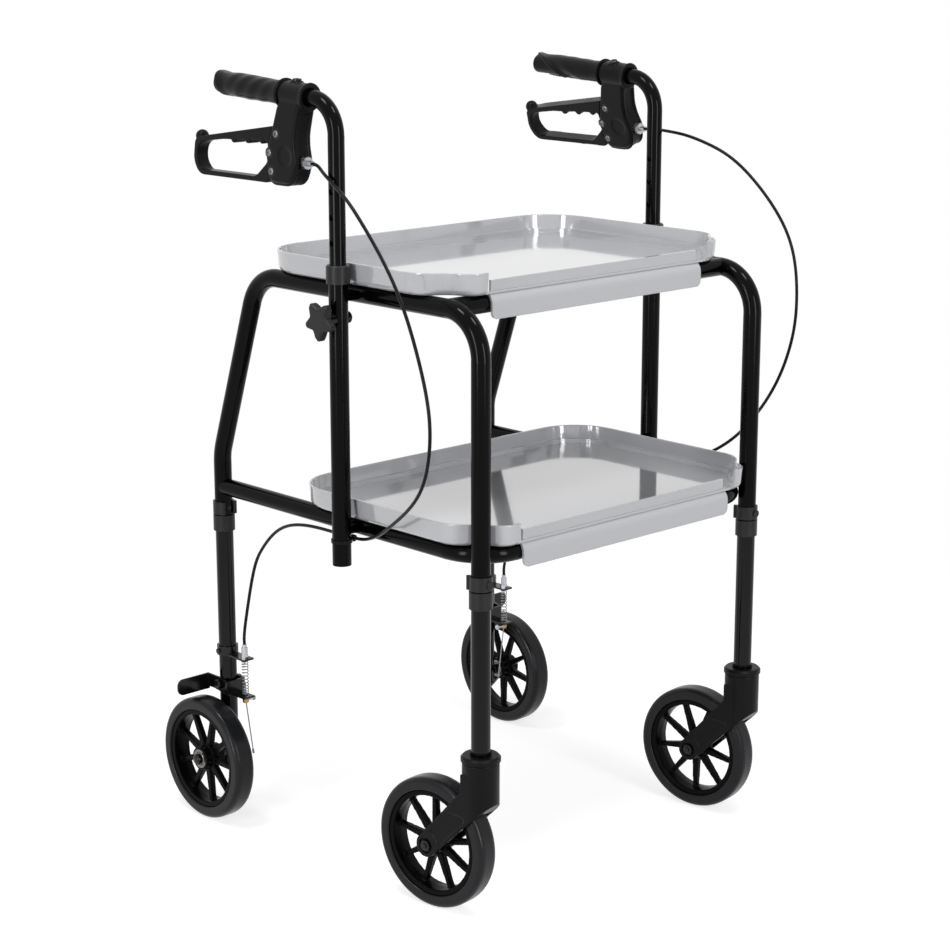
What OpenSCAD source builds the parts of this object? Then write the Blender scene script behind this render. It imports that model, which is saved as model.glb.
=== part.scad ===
// Indoor walker with two trays: bent-tube frame, height-adjustable handles with loop brake levers,
// swivelling front casters, braked rear wheels and two hooked moulded trays.
// The front (direction of travel) is -Y, the user stands at +Y, and the floor is at z = 0.

/* [Frame] */
// Outside diameter of the frame tube
tube_d = 22.2; // [20:0.1:26]
// Wall of the frame and leg tubes
tube_wall = 1.5; // [1:0.1:2]
// Width between the side frames, axis to axis
frame_w = 454.6; // [440:0.2:480]
// Distance from the front leg axis to the rear leg axis
wheelbase = 466; // [450:1:490]
// Height of the top rail axis
rail_z = 700.7; // [690:0.1:740]
// Height of the lower rail axis
lower_rail_z = 427; // [420:1:445]
// Outside diameter of the lower rail
lower_rail_d = 21.3; // [19:0.1:24]
// Centreline radius of the side frame bends
frame_bend_r = 52; // [45:1:60]
// Lean of the upper rear leg from the vertical, in degrees
rear_lean = 18.9; // [16:0.1:20]
// Height where the rear leg turns vertical
rear_kink_z = 470; // [460:1:490]
// Centreline radius of the rear leg's lower bend
kink_r = 60; // [40:1:80]
// Height of the joint between the upper tubes and the lower legs
leg_joint_z = 372; // [365:1:385]
// Length of the lower leg's spigot inside the upper tube
spigot_len = 60; // [50:1:70]

/* [Handles] */
// Distance of the handle axis outside the side frame axis
sleeve_offset = 34.7; // [33:0.1:38]
// Distance of the handle axis behind the front leg axis
handle_back = 196.6; // [185:0.1:210]
// Height of the top of the handle sleeves
sleeve_top_z = 731; // [725:1:745]
// Height of the bottom of the handle sleeves
sleeve_bottom_z = 387.5; // [385:0.5:400]
// Outside diameter of the handle sleeves
sleeve_d = 22.2; // [21.5:0.1:24]
// Outside diameter of the handle tube
handle_d = 19; // [17:0.1:19.5]
// Wall of the handle tube
handle_wall = 1.5; // [1:0.1:2]
// Length of handle tube inside the sleeve at the shown setting
handle_insert = 200; // [180:1:220]
// Height where the grip axis meets the upright's axis
grip_z = 917.8; // [910:0.1:940]
// Rise of the grip towards its rear end, in degrees
grip_rise = 3.2; // [0:0.1:6]
// Centreline radius of the handle bend
handle_bend_r = 40; // [34:1:40]
// Spacing of the height adjustment holes
hole_pitch = 28.6; // [25:0.1:30]
// Diameter of the adjustment holes
hole_d = 7; // [5:0.1:8]
// Height of the clamp stud and knob
clamp_z = 676; // [665:1:690]
// Span of the star knob across its lobes
knob_d = 56; // [44:1:60]
// Length of the grip behind its flange
grip_len = 119; // [110:1:135]
// Diameter of the grip
grip_d = 28.5; // [26:0.1:32]
// Diameter of the grip's flange
grip_flange_d = 35.3; // [32:0.1:40]

/* [Brake levers] */
// Depth of the lever housing, front to rear
housing_depth = 64; // [56:1:68]
// Height of the lever housing below the grip axis
housing_h = 99; // [92:1:104]
// Thickness of the lever housing, side to side
housing_w = 26; // [24:0.5:28]
// Outside diameter of the clamp barrel
barrel_d = 30; // [27:0.5:33]
// Length of the clamp barrel
barrel_len = 42; // [36:1:44]
// Reach of the loop lever behind its pivot
lever_len = 162; // [145:1:164]
// Height of the loop lever
lever_h = 65; // [58:1:66]
// Thickness of the loop lever, side to side
lever_w = 17; // [15:0.5:22]
// Thickness of the lever's tongue inside the housing
tongue_w = 13.4; // [10:0.1:14]
// Roll of the left lever set round the grip, its lower end outwards
left_roll = 22; // [0:1:25]

/* [Wheels] */
// Radius of every wheel over the tyre
wheel_r = 78.4; // [74:0.1:82]
// Width of the tyre
tyre_w = 28; // [24:0.5:30]
// Radial depth of the tyre
tyre_depth = 15; // [12:0.5:17]
// Number of spokes
spoke_count = 9; // [7:1:12]
// Diameter of the wheel axles
axle_d = 8; // [6:0.5:8]
// Outside diameter of the ball bearings
bearing_d = 24; // [19:0.5:25]
// Width of one ball bearing
bearing_w = 7; // [5:0.5:8]
// Distance of the rear wheel's middle outside the leg axis
rear_wheel_out = 34.4; // [33:0.1:38]

/* [Casters] */
// Distance of the caster axle behind the swivel axis
caster_trail = 65; // [60:1:70]
// Angle at which both casters stand turned, seen from above
caster_turn = 7; // [0:1:30]
// Radius of the fork's head
fork_head_r = 21.5; // [20:0.1:23]
// Radius of the dust cap
cap_r = 23; // [22:0.1:25]
// Half of the clear width between the fork arms
arm_gap = 16; // [15:0.1:17]
// Radius of the boss round the caster axle
boss_r = 14; // [12:0.5:16]

/* [Brakes] */
// Height of the brake arm's pivot
brake_pivot_z = 170; // [169:0.5:176]
// Distance of the cable ahead of the rear leg axis
cable_ahead = 35; // [32:1:38]
// Height of the cable stop plate's underside
stop_z = 208; // [202:1:212]
// Outside diameter of the return spring
spring_d = 9; // [8:0.1:10]
// Wire diameter of the return spring
spring_wire = 1.2; // [1:0.1:1.4]
// Number of coils in the return spring
spring_coils = 13; // [10:1:14]
// Diameter of the brake cable's casing
cable_d = 4; // [3.5:0.1:4.5]

/* [Trays] */
// Outside width of a tray over its rim
tray_w = 492; // [484:1:494]
// Outside depth of a tray over its rim, without the lip
tray_depth = 332; // [310:1:340]
// Height of the rim above the tray's underside
tray_h = 25.5; // [22:0.5:30]
// Wall and floor of the tray
tray_t = 3; // [2.5:0.1:3.5]
// Radius of the tray's rear corners
tray_rear_r = 62; // [50:1:70]
// Length of the front lip, side to side
lip_len = 348; // [320:1:352]
// Drop of the lip below the tube axis
lip_drop = 17; // [14:0.5:20]

/* [Hidden] */
$fn = 48;
arc_steps = 6;
// One overrun for every cut
over = 1;
// Fits: welded or pressed joints, running fits, sliding fits, resting gaps between moving pieces
weld_gap = 0.1;
run_gap = 0.05;
slide_gap = 0.1;
rest_gap = 0.3;
// A bent length is drawn a hair thinner, and the straight lengths lap over its ends
bend_thin = 0.1;
bend_lap = 0.5;
$thin = 0;

frame_x = frame_w / 2;
tube_r = tube_d / 2;
rail_r = lower_rail_d / 2;
front_y = -(wheelbase + wheel_r - cap_r) / 2;
rear_y = front_y + wheelbase;
handle_x = frame_x + sleeve_offset;
handle_y = front_y + handle_back;
bar_y = front_y + frame_bend_r;

// Side frame: up the front leg, back along the rail and down the rear leg
rear_turn = 90 - rear_lean;
rear_run = (rail_z - rear_kink_z) / cos(rear_lean);
rail_end = wheelbase - (rail_z - rear_kink_z) * tan(rear_lean);
rear_tan = frame_bend_r * tan(rear_turn / 2);
kink_tan = kink_r * tan(rear_lean / 2);
frame_steps = [
    [rail_z - frame_bend_r - leg_joint_z, 0],
    [frame_bend_r, -90],
    [rail_end - rear_tan - frame_bend_r, 0],
    [frame_bend_r, -rear_turn],
    [rear_run - rear_tan - kink_tan, 0],
    [kink_r, -rear_lean],
    [rear_kink_z - kink_tan - leg_joint_z, 0]
];

// Lower rail: its front corners nest against the inside of the front legs
nest_r = (tube_r + rail_r + weld_gap) * (1 + sqrt(2));
rail_steps = [
    [wheelbase - nest_r, 0],
    [nest_r, 90],
    [frame_w - 2 * nest_r, 0],
    [nest_r, 90],
    [wheelbase - nest_r, 0]
];

// Leg collars, clips and their pins
collar_d = 27;
collar_h = 20;
collar_lap = 1;
clip_z = 400.5;
clip_h = 16;
clip_t = 2.2;
clip_open = 80;
clip_flare_r = 2.6;
pin_d = 6;
pin_head_d = 9;
pin_head_h = 2.5;

// Handle sleeve, its brackets, clamp and collar
bracket_l = 14;
bracket_h = 10;
bracket_lift = 2;
sleeve_collar_d = 27.5;
sleeve_collar_h = 21;
sleeve_collar_lap = 6;
stud_d = 8;
nut_d = 16;
nut_h = 5;
dome_d = 14;
dome_h = 4.5;
knob_gap = 1;
knob_t = 11;
knob_neck_d = 18;
knob_neck_h = 4;
knob_lobes = 5;
knob_valley_share = 0.5;
knob_round_share = 0.07;
knob_edge = 1.5;

// Handle tube path and the stations along the grip axis, measured from the bend's corner
grip_turn = 90 - grip_rise;
handle_tan = handle_bend_r * tan(grip_turn / 2);
handle_low_z = sleeve_top_z - handle_insert;
barrel_start = 43.5;
flange_start = barrel_start + barrel_len + run_gap;
flange_t = 4;
grip_end = flange_start + flange_t + grip_len;
handle_steps = [
    [grip_z - handle_tan - handle_low_z, 0],
    [handle_bend_r, -grip_turn],
    [grip_end - handle_tan - flange_t, 0]
];
hole_first = -2;
hole_last = 5;
// Grip profile: shares of its radius and of its length; leaf-shaped hollows lie aslant in rows round it
grip_shares = [
    [1, 0.01], [0.96, 0.05], [0.94, 0.12], [0.97, 0.3], [1, 0.5], [1, 0.68], [0.98, 0.82], [1, 0.93],
    [1.02, 0.965], [0.99, 0.99], [0.88, 1]
];
leaf_row_shares = [0.3, 0.64];
leaf_count = 5;
leaf_depth = 1.1;
leaf_r = 70;
leaf_skew = 32;

// Lever housing: outline as shares of its depth and height, with corner radii as shares of its depth
housing_back = 47.4;
housing_y = handle_y + housing_back;
housing_shares = [
    [0, 0, 0], [0.19, -0.46, 0.9], [0.1, -0.74, 0.3], [0.24, -1, 0.3], [0.93, -1, 0.2],
    [1.01, -0.67, 0.2], [0.62, 0, 0]
];
pivot_share = [0.692, -0.41];
pivot_y = housing_y + pivot_share[0] * housing_depth;
pivot_z = grip_z + pivot_share[1] * housing_h;
screw_shares = [[0.895, -0.632], [0.84, -0.843]];
badge_share = [0.44, -0.656];
badge_r = 11.5;
badge_depth = 0.8;
pivot_d = 6;
screw_d = 6;
screw_recess_d = 10.5;
screw_recess_depth = 1.2;
slot_shares = [[0.36, -0.94], [1.2, -0.94], [1.2, -0.22], [0.55, -0.22], [0.27, -0.35]];
housing_edge = 2.5;
groove_wall = 5;
groove_depth = 3;
barrel_rim_t = 2.5;
barrel_rim_h = 1.6;
clamp_block = [11, 12, 5];
clamp_station = 24;
adjuster_z_share = 0.72;
adjuster_front_share = 0.15;
adjuster_d = 13;
adjuster_len = 11;
adjuster_tip_d = 7;
adjuster_tip_len = 7.5;
adjuster_ridges = 16;
adjuster_ridge_d = 1.6;

// Loop lever: outlines from the pivot, as shares of its reach and height, radii as shares of its height
lever_outer_shares = [
    [-0.04, -0.05, 0], [0.06, 0.13, 0.05], [0.82, -0.15, 0.3], [0.975, -0.235, 0.12],
    [1, -0.62, 0.35], [0.94, -0.88, 0.26], [0.14, -0.88, 0.12], [0.06, -0.72, 0.1], [0.02, -0.2, 0.1]
];
lever_loop_shares = [
    [0.125, -0.14, 0.06], [0.66, -0.2, 0.1], [0.935, -0.29, 0.24], [0.96, -0.6, 0.25],
    [0.9, -0.79, 0.17], [0.27, -0.79, 0.3], [0.125, -0.5, 0.2]
];
lever_tooth_shares = [[0.19, -0.13], [0.352, -0.15], [0.514, -0.165]];
lever_tooth_r = 5;
lever_nub_share = [0.95, -0.2];
lever_nub_r = 8;
lever_clear = 2.5;
hub_r = 9;

// Wheel
rim_r = wheel_r - tyre_depth;
rim_t = 6.5;
rim_w = 24;
wheel_hub_r = 15;
wheel_hub_w = 29;
spoke_w_hub = 9;
spoke_w_rim = 5;
spoke_t = 8;
// How far each wheel stands turned, as shares of the spacing of its spokes
front_right_turn_share = 0.45;
rear_right_turn_share = -0.18;
tyre_round = 6;
tyre_crown = 1.2;
bearing_ring = 3;
bearing_groove = 1;
washer_d = 13;
axle_nut_d = 14.5;
axle_nut_h = 6;

// Rear legs end below the axle
leg_below_axle = 13;

// Caster
wheel_clear = 8;
stem_d = 12;
stem_flange_d = 24.6;
stem_flange_h = 3.7;
stem_in_leg = 34;
front_leg_bottom_z = 203;
cap_top_z = front_leg_bottom_z - stem_flange_h - rest_gap;
cap_h = 8;
cap_edge = 2.5;
head_top_z = cap_top_z - cap_h;
head_h = 13;
shoulder_z = head_top_z - head_h;
head_front_z = 143;
fork_back_share = 0.6;
fork_flank_share = 0.97;
fork_border = 4;
fork_panel_depth = 1.2;
fork_panel_low_share = 0.85;
fork_panel_high_share = 0.66;
boss_at = [caster_trail, wheel_r];
fork_slope = [-caster_trail, head_front_z - wheel_r];
stem_bottom_z = 154;
fork_recess_d = 18;
fork_recess_depth = 2.5;
caster_nut_d = 13;
caster_nut_h = 4.5;

// Brake arm and shoe, measured from the leg axis and the pivot
arm_t = 2.5;
arm_leg_gap = 0.6;
arm_web_gap = 2;
arm_top = 6;
arm_bottom = 12;
shoe_back = 24;
shoe_reach = 61;
shoe_top = 9;
shoe_bottom = 8;
shoe_low = 11.7;
tab_w = 16;
tab_past = 8;
wire_d = 1.6;
wire_hole_d = 6;
anchor_d = 8;
anchor_h = 7;
anchor_screw_d = 4.5;
anchor_screw_len = 14;
anchor_screw_head_d = 7;
tail_drop = 75;
tail_lean = 8;
pivot_bolt_d = 8;
bolt_head_d = 13;
bolt_head_h = 5;
stop_t = 2.5;
stop_strap_h = 12;
ferrule_d = 8;
ferrule_len = 17.5;
ferrule_foot_d = 10;
ferrule_foot_h = 4;
wire_stub = 49;
wire_gap = 6.5;
spring_seat = 0.5;
spring_rings = 8;
spring_sides = 6;

// Tray: rim path from the left end of the front wall round to the right end
corner_out = 68;
corner_in = 34;
corner_side = 90 - corner_out + corner_in;
corner_out_r = 28;
corner_in_r = 18;
corner_side_r = 40;
corner_run_a = 6;
corner_run_b = 8;
front_end_run = 4;
rim_ahead = 17.5;
corner_path = [
    [front_end_run, 0], [corner_out_r, corner_out], [corner_run_a, 0],
    [corner_in_r, -corner_in], [corner_run_b, 0], [corner_side_r, corner_side]
];
corner_back = [
    [corner_side_r, corner_side], [corner_run_b, 0], [corner_in_r, -corner_in],
    [corner_run_a, 0], [corner_out_r, corner_out], [front_end_run, 0]
];
corner_size = path_end(corner_path);
tray_side_run = tray_depth - corner_size.y - tray_rear_r;
tray_steps = concat(
    corner_path,
    [
        [tray_side_run, 0], [tray_rear_r, 90], [tray_w - 2 * tray_rear_r, 0],
        [tray_rear_r, 90], [tray_side_run, 0]
    ],
    corner_back
);
tray_draft = 2;
tray_foot_r = 7;
ledge_w = 5;
ledge_h = 5.5;
ledge_in = tray_draft + tray_t + ledge_w;
ridge_h = 12;
ridge_back = 8.5;
ridge_in = 3;
lip_corner_r = 8;

// Brake cable routes, from the adjuster down to the ferrule on the rear leg
cable_rings = 40;
cable_sides = 8;
right_route = [
    [-262, -23.4, 846.5], [-263.4, -32, 845.6], [-268, -42.5, 843.6], [-274.6, -58, 838.4],
    [-279.4, -84, 826], [-284, -122, 802], [-289, -193, 729], [-298, -244, 642], [-301, -260, 576],
    [-292, -233, 506], [-271, -153, 448], [-252, -102, 424], [-244.5, -64, 416], [-241, 22, 414],
    [-236, 82, 398], [-230, 128, 360], [-228, 148, 326], [-228, 164, 266], [-227.3, 170.2, 240],
    [-227.3, 170.3, 228.3]
];
left_route = [
    [289.6, -24, 852], [289.5, -34, 852.4], [288, -60, 852], [285, -114, 846], [288, -186, 818],
    [297, -256, 741], [301, -270, 656], [298, -260, 586], [288, -234, 524], [267, -194, 470],
    [252, -126, 434], [244.5, -64, 416], [241, 22, 414], [236, 82, 398], [230, 128, 360],
    [228, 148, 326], [228, 164, 266], [227.3, 170.2, 240], [227.3, 170.3, 228.3]
];
tie_reach = 17.5;
tie_z = 416.3;
tie_w = 4;
tie_t = 1.2;
tie_slack = 0.9;

// Colours
frame_black = "#151517";
plastic_black = "#1d1d1f";
plastic_grey = "#3a3a3c";
rubber_grey = "#2d2e31";
tray_grey = "#b4b5b8";
steel = "#b9bbbe";
brass = "#a98b4c";

right = -1;
left = 1;

// Outline helpers
// Point reached from p with heading h after one step, [length, 0] or [radius, turn]
function step_end(p, h, s) = s[1] == 0
    ? p + s[0] * [cos(h), sin(h)]
    : p + s[0] * sign(s[1]) * [sin(h + s[1]) - sin(h), cos(h) - cos(h + s[1])];
function path_end(steps, i = 0, p = [0, 0], h = 0) = i == len(steps)
    ? p : path_end(steps, i + 1, step_end(p, h, steps[i]), h + steps[i][1]);
function beside(p, h, inset) = p + inset * [-sin(h), cos(h)];
// Points along a path, moved to its left by inset
function trace(steps, inset, i = 0, p = [0, 0], h = 0) = i == len(steps)
    ? [beside(p, h, inset)]
    : let (s = steps[i])
      concat(
          [beside(p, h, inset)],
          s[1] == 0 ? [] : [
              for (k = [1 : arc_steps - 1]) let (a = s[1] * k / arc_steps)
              beside(step_end(p, h, [s[0], a]), h + a, inset)
          ],
          trace(steps, inset, i + 1, step_end(p, h, s), h + s[1])
      );
function unit(v) = v / norm(v);
function spread(shares, w, h, r) = [for (s = shares) [s[0] * w, s[1] * h, s[2] * r]];
// Polygon whose corners [x, y, radius] are rounded
function rounded(pts) = [
    for (i = [0 : len(pts) - 1])
    let (
        n = len(pts),
        p = [pts[i].x, pts[i].y],
        a = [pts[(i + n - 1) % n].x, pts[(i + n - 1) % n].y],
        b = [pts[(i + 1) % n].x, pts[(i + 1) % n].y],
        u = unit(a - p),
        v = unit(b - p),
        half = acos(u * v) / 2,
        c = p + unit(u + v) * pts[i][2] / sin(half),
        reach = pts[i][2] / tan(half)
    )
    each pts[i][2] == 0 ? [p] : [
        for (k = [0 : arc_steps])
        let (f = k / arc_steps)
        c + pts[i][2] * unit((p + u * reach - c) * (1 - f) + (p + v * reach - c) * f)
    ]
];

// Shape helpers
module ring(d, wall) difference() {
    circle(d = d - 2 * $thin);
    circle(d = d - 2 * wall + 2 * $thin);
}
module disc(d) circle(d = d - 2 * $thin);
// Sweeps a profile (its x to the left of the path, its y up) along straight and curved steps
module run(steps, i = 0) if (i < len(steps)) {
    s = steps[i];
    turn = abs(s[1]);
    $thin = turn == 0 ? 0 : bend_thin;
    before = i > 0 ? bend_lap : 0;
    after = i < len(steps) - 1 ? bend_lap : 0;
    if (turn == 0)
        translate([-before, 0, 0]) rotate([90, 0, 90]) linear_extrude(before + s[0] + after) children();
    else if (s[1] > 0)
        translate([0, s[0], 0]) rotate(-90) rotate_extrude(angle = turn)
            translate([s[0], 0]) mirror([1, 0]) children();
    else
        translate([0, -s[0], 0]) rotate(90 - turn) rotate_extrude(angle = turn)
            translate([s[0], 0]) children();
    end = step_end([0, 0], 0, s);
    translate([end.x, end.y, 0]) rotate(s[1]) run(steps, i + 1) children();
}
// Builds a left-hand piece, or its mirror image for the right
module sided(side) if (side > 0) children(); else mirror([1, 0, 0]) children();
// Turns drawings made in x, y into the walker's side plane y, z at a given x
module side_plane(x) translate([x, 0, 0]) rotate([90, 0, 90]) children();
module plate(x, w) side_plane(x - w / 2) linear_extrude(w) children();
// Cylinder along X
module x_rod(d, from, to) translate([from, 0, 0]) rotate([0, 90, 0]) cylinder(d = d, h = to - from);
// Disc along X with chamfered edges
module x_knob(d, from, to, edge) translate([from, 0, 0]) rotate([0, 90, 0]) rotate_extrude()
    polygon([
        [0, 0], [d / 2 - edge, 0], [d / 2, edge], [d / 2, to - from - edge],
        [d / 2 - edge, to - from], [0, to - from]
    ]);
// Places children with z along the grip axis, a distance behind the bend's corner
module on_grip(station) translate([0, handle_y, grip_z]) rotate([grip_rise - 90, 0, 0])
    translate([0, 0, station]) children();
module at_handle(side) translate([side * handle_x, 0, 0]) children();
// Both lever sets are the same part, its screwed face towards -X
module lever_set(side) at_handle(side) on_grip(0) rotate(side == left ? -left_roll : 0)
    rotate([90 - grip_rise, 0, 0]) translate([0, -handle_y, -grip_z]) children();
// Tube of given sides through points
function curve_at(pts, t) = let (
    n = len(pts) - 1,
    i = min(floor(t * n), n - 1),
    f = t * n - i,
    p1 = pts[i],
    p2 = pts[i + 1],
    p0 = i > 0 ? pts[i - 1] : 2 * p1 - p2,
    p3 = i + 2 <= n ? pts[i + 2] : 2 * p2 - p1
) p1 + 0.5 * f * (p2 - p0 + f * (2 * p0 - 5 * p1 + 4 * p2 - p3 + f * (3 * (p1 - p2) + p3 - p0)));
module tube_along(pts, r, sides, across) {
    n = len(pts);
    rings = [for (i = [0 : n - 1]) let (
        t = unit(pts[min(i + 1, n - 1)] - pts[max(i - 1, 0)]),
        u = unit(cross(t, across)),
        v = cross(u, t)
    ) [for (k = [0 : sides - 1]) pts[i] + r * (u * cos(360 * k / sides) + v * sin(360 * k / sides))]];
    polyhedron(
        points = [for (q = rings) each q],
        faces = concat(
            [for (i = [0 : n - 2], k = [0 : sides - 1])
                let (a = i * sides + k, b = i * sides + (k + 1) % sides)
                each [[a, a + sides, b], [b, a + sides, b + sides]]],
            [for (k = [1 : sides - 2]) [0, k, k + 1]],
            [for (k = [1 : sides - 2]) let (z = (n - 1) * sides) [z, z + k + 1, z + k]]
        )
    );
}

// Frame
module frame_path(profile_d, wall) side_plane(frame_x) translate([front_y, leg_joint_z, 0]) rotate(90)
    run(frame_steps) if (wall > 0) ring(profile_d, wall); else disc(profile_d);
module pin_cut(x, y) translate([x, y - tube_d, clip_z]) rotate([-90, 0, 0])
    cylinder(d = pin_d + 2 * weld_gap, h = 2 * tube_d);
module side_frame(side) color(frame_black) sided(side) difference() {
    frame_path(tube_d, tube_wall);
    pin_cut(frame_x, front_y);
    pin_cut(frame_x, rear_y);
}
module top_crossbar() color(frame_black) difference() {
    translate([-frame_x, bar_y, rail_z]) rotate([0, 90, 0]) linear_extrude(frame_w)
        ring(tube_d, tube_wall);
    for (side = [right, left]) sided(side) frame_path(tube_d + 2 * weld_gap, 0);
}
module lower_rail() color(frame_black) difference() {
    translate([-frame_x, rear_y, lower_rail_z]) rotate(-90) run(rail_steps) ring(lower_rail_d, tube_wall);
    for (x = [-frame_x, frame_x]) translate([x, rear_y, 0]) cylinder(d = tube_d + 2 * weld_gap, h = rail_z);
}
module handle_sleeve(side) color(frame_black) sided(side) difference() {
    union() {
        translate([handle_x, handle_y, sleeve_bottom_z])
            cylinder(d = sleeve_d, h = sleeve_top_z - sleeve_bottom_z);
        for (z = [rail_z, lower_rail_z + bracket_lift])
            translate([frame_x, handle_y - bracket_l / 2, z - bracket_h / 2])
            cube([sleeve_offset, bracket_l, bracket_h]);
    }
    translate([handle_x, handle_y, sleeve_bottom_z - over])
        cylinder(d = handle_d + 2 * slide_gap, h = sleeve_top_z - sleeve_bottom_z + 2 * over);
    translate([frame_x, front_y, rail_z]) rotate([-90, 0, 0])
        cylinder(d = tube_d + 2 * weld_gap, h = wheelbase);
    translate([frame_x, front_y, lower_rail_z]) rotate([-90, 0, 0])
        cylinder(d = lower_rail_d + 2 * weld_gap, h = wheelbase);
    translate([0, handle_y, clamp_z]) x_rod(stud_d + 2 * run_gap, handle_x, handle_x + sleeve_d);
}
module sleeve_collars() color(plastic_grey) for (side = [right, left]) sided(side)
    translate([handle_x, handle_y, sleeve_top_z + sleeve_collar_lap - sleeve_collar_h]) rotate_extrude()
        polygon([
            [sleeve_d / 2 + weld_gap, 0], [sleeve_collar_d / 2, 0],
            [sleeve_collar_d / 2, sleeve_collar_h - knob_edge],
            [sleeve_collar_d / 2 - knob_edge, sleeve_collar_h], [handle_d / 2 + slide_gap, sleeve_collar_h],
            [handle_d / 2 + slide_gap, sleeve_collar_h - sleeve_collar_lap + weld_gap],
            [sleeve_d / 2 + weld_gap, sleeve_collar_h - sleeve_collar_lap + weld_gap]
        ]);
// Welded nut on the outer side of each sleeve and the domed head on its inner side
module clamp_bolts() color(frame_black) for (side = [right, left]) sided(side)
    translate([handle_x, handle_y, clamp_z]) difference() {
        union() {
            x_rod(nut_d, 0, sleeve_d / 2 + nut_h);
            translate([-sleeve_d / 2, 0, 0]) rotate([0, -90, 0]) rotate_extrude()
                polygon(rounded([
                    [0, -sleeve_d / 2, 0], [dome_d / 2, -sleeve_d / 2, 0],
                    [dome_d / 2, dome_h, dome_h / 2], [0, dome_h, 0]
                ]));
        }
        translate([0, 0, -nut_d]) cylinder(d = sleeve_d + 2 * weld_gap, h = 2 * nut_d);
        x_rod(stud_d + 2 * run_gap, 0, sleeve_d);
    }
module leg_at() for (side = [-1, 1], y = [front_y, rear_y]) translate([side * frame_x, y, 0]) children();
module leg_collars() color(plastic_grey) leg_at() translate([0, 0, leg_joint_z - collar_lap]) difference() {
    cylinder(d = collar_d, h = collar_h);
    translate([0, 0, -over]) cylinder(d = tube_d + 2 * weld_gap, h = collar_h + 2 * over);
}
// Spring clips with a cross pin: the open side faces into the walker's length
module leg_clip(turn) rotate(turn) {
    inner = tube_r + weld_gap;
    head = inner + clip_t + pin_head_h;
    rotate(90 + clip_open / 2) rotate_extrude(angle = 360 - clip_open) translate([inner, -clip_h / 2])
        square([clip_t, clip_h]);
    for (s = [-1, 1]) rotate(s * clip_open / 2) translate([0, inner + clip_flare_r, -clip_h / 2])
        cylinder(r = clip_flare_r, h = clip_h);
    translate([0, inner, 0]) rotate([90, 0, 0]) cylinder(d = pin_d, h = inner + head - pin_head_h / 2);
    translate([0, -inner - clip_t / 2, 0]) rotate([90, 0, 0])
        cylinder(d = pin_head_d, h = clip_t / 2 + pin_head_h);
}
module leg_clips() color(plastic_grey) for (side = [-1, 1]) {
    translate([side * frame_x, front_y, clip_z]) leg_clip(0);
    translate([side * frame_x, rear_y, clip_z]) leg_clip(180);
}
module lower_leg(bottom) {
    spigot_r = tube_r - tube_wall - slide_gap;
    difference() {
        union() {
            translate([0, 0, bottom]) cylinder(r = tube_r, h = leg_joint_z - weld_gap - bottom);
            translate([0, 0, bottom]) cylinder(r = spigot_r, h = leg_joint_z + spigot_len - bottom);
        }
        translate([0, 0, bottom - over]) cylinder(r = spigot_r - tube_wall, h = rail_z);
        pin_cut(0, 0);
    }
}
module front_legs() color(frame_black) for (x = [-frame_x, frame_x])
    translate([x, front_y, 0]) lower_leg(front_leg_bottom_z);
module rear_legs() color(frame_black) for (x = [-frame_x, frame_x]) translate([x, rear_y, 0]) difference() {
    lower_leg(wheel_r - leg_below_axle);
    translate([0, 0, wheel_r]) x_rod(axle_d + 2 * weld_gap, -tube_d, tube_d);
    translate([0, 0, brake_pivot_z]) x_rod(pivot_bolt_d + 2 * weld_gap, -tube_d, tube_d);
}
module caster_stems() color(frame_black) for (x = [-frame_x, frame_x]) translate([x, front_y, 0]) {
    translate([0, 0, stem_bottom_z]) cylinder(d = stem_d, h = front_leg_bottom_z - stem_bottom_z);
    translate([0, 0, front_leg_bottom_z - stem_flange_h]) cylinder(d = stem_flange_d, h = stem_flange_h);
    translate([0, 0, front_leg_bottom_z - stem_flange_h])
        cylinder(r = tube_r - 2 * tube_wall - 2 * slide_gap, h = stem_flange_h + stem_in_leg);
}

// Handles
module handle_tube(side) color(frame_black) sided(side) difference() {
    side_plane(handle_x) translate([handle_y, handle_low_z, 0]) rotate(90)
        run(handle_steps) ring(handle_d, handle_wall);
    for (i = [hole_first : hole_last]) translate([0, handle_y, clamp_z + i * hole_pitch])
        x_rod(hole_d, handle_x - handle_d, handle_x + handle_d);
}
module grip(side) color(plastic_black) at_handle(side) on_grip(flange_start) difference() {
    r = grip_d / 2;
    l = flange_t + grip_len;
    bore = handle_d / 2 + run_gap;
    rotate_extrude() polygon(concat(
        [
            [bore, 0], [grip_flange_d / 2 - flange_t / 4, 0], [grip_flange_d / 2, flange_t / 4],
            [grip_flange_d / 2, flange_t * 3 / 4], [grip_flange_d / 2 - flange_t / 4, flange_t]
        ],
        [for (s = grip_shares) [s[0] * r, flange_t + s[1] * grip_len]],
        [[0, l], [0, l - flange_t + run_gap], [bore, l - flange_t + run_gap]]
    ));
    for (row = [0, 1], i = [0 : leaf_count - 1]) rotate(360 * (i + row / 2) / leaf_count)
        translate([r + leaf_r - leaf_depth, 0, flange_t + leaf_row_shares[row] * grip_len])
        rotate([leaf_skew, 0, 0]) cylinder(r = leaf_r, h = 2 * leaf_r, center = true);
}
module housing_outline() translate([housing_y, grip_z])
    polygon(rounded(spread(housing_shares, housing_depth, housing_h, housing_depth)));
module housing_at(share)
    translate([0, housing_y + share[0] * housing_depth, grip_z + share[1] * housing_h]) children();
module adjuster_seat()
    translate([
        0, housing_y + adjuster_front_share * housing_depth + groove_depth,
        grip_z - adjuster_z_share * housing_h
    ])
    rotate([90, 0, 0]) children();
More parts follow.
